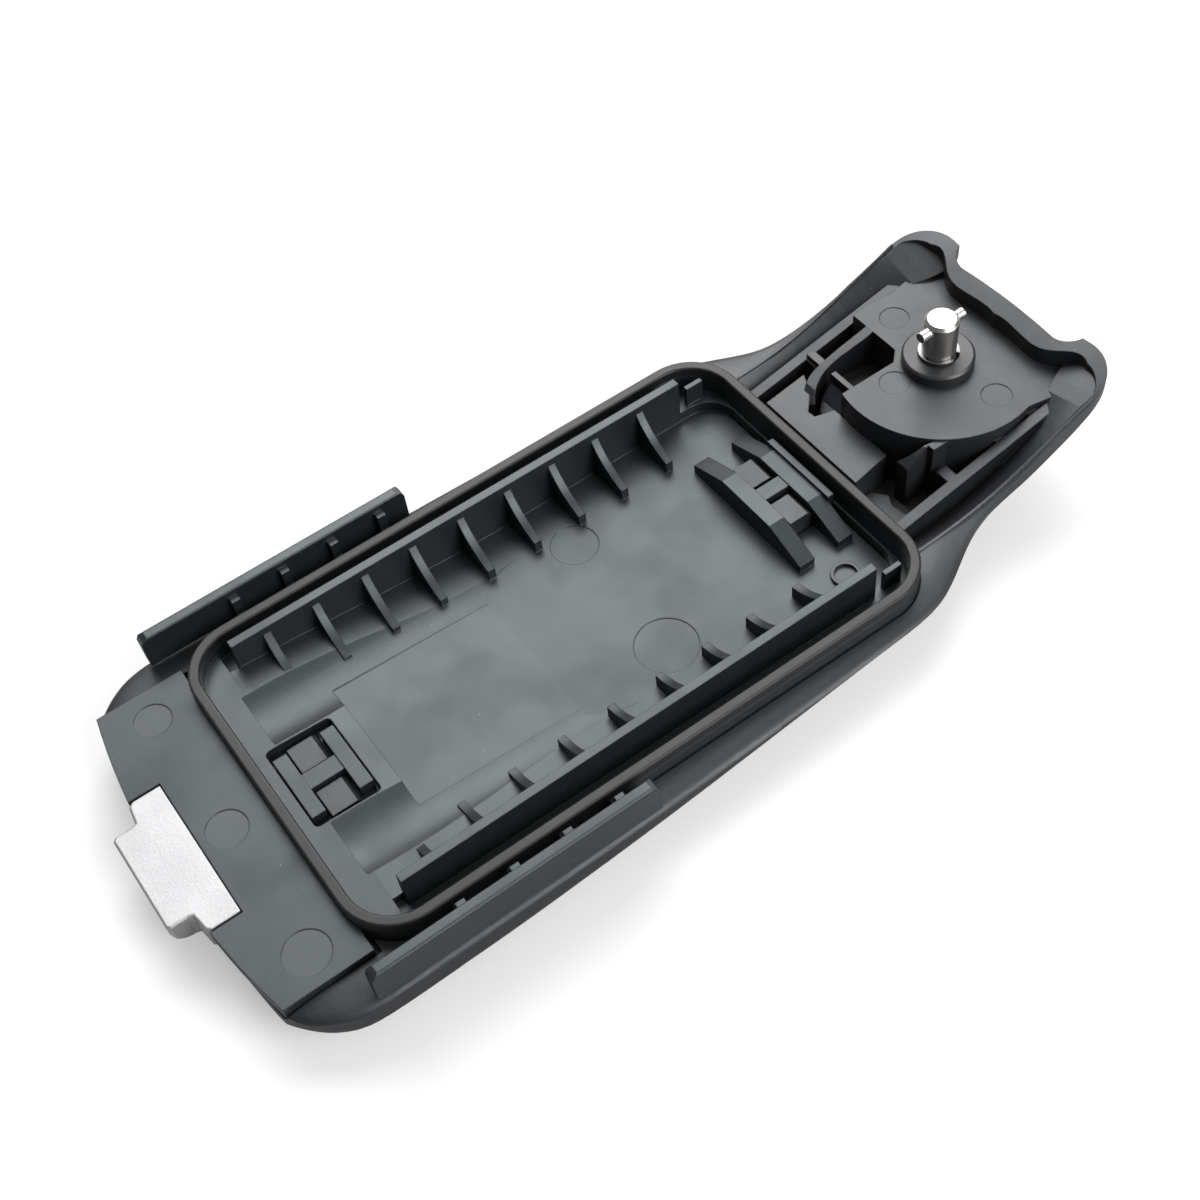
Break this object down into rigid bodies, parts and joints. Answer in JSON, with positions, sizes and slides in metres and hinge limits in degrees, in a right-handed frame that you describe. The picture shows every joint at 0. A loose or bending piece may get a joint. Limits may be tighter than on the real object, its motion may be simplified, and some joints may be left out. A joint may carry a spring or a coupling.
{
  "type": "battery door",
  "caption": "Battery door for a rugged hand-held unit: sealed two-cell bay, metal hook tab at one end, quarter-turn latch stud with folding D-ring at the other.",
  "frame": {"origin": "bottom centre of the bounding box: the plane of the back plate's outside face, midway between the hook tab's tip and the end bumps", "axes": "+X across the door, +Y from the hook tab towards the latch, +Z from the outside face to the inside of the door"},
  "size_m": [0.043, 0.1003, 0.0158],
  "materials": {
    "shell_plastic": "fine satin moulded texture",
    "tray_plastic": "smooth satin moulding",
    "seal_rubber": "smooth rubber",
    "tab_metal": "fine blasted",
    "plate_plastic": "satin",
    "screw_steel": "dark plated",
    "latch_steel": "polished nickel plate",
    "bush_plastic": "smooth acetal",
    "clip_steel": "blackened spring steel",
    "knob_metal": "satin black coat",
    "ring_steel": "brushed stainless",
    "insert_brass": "turned, knurled"
  },
  "bodies": {
    "door": {"outer_shell": "shell_plastic", "battery_tray": "tray_plastic", "rim_seal": "seal_rubber", "hook_tab": "tab_metal", "back_plate": "plate_plastic", "tab_screws": "screw_steel", "plate_screws": "screw_steel", "threaded_inserts": "insert_brass", "shaft_bush": "bush_plastic", "thrust_washer": "bush_plastic"},
    "latch": {"latch_shaft": "latch_steel", "cross_pin": "latch_steel", "shaft_o_ring": "seal_rubber", "retaining_clip": "clip_steel", "disc_spring": "clip_steel", "latch_knob": "knob_metal", "ring_pin": "latch_steel"},
    "ring": {"d_ring": "ring_steel"}
  },
  "joints": [
    {"name": "latch_turn", "type": "hinge", "parent": "door", "child": "latch", "pos_m": [0, 0.03955, 0.01], "axis": [0, 0, 1], "range_deg": [0, 90]},
    {"name": "ring_fold", "type": "hinge", "parent": "latch", "child": "ring", "pos_m": [0, 0.03955, 0.0029], "axis": [1, 0, 0], "range_deg": [0, 180]}
  ]
}
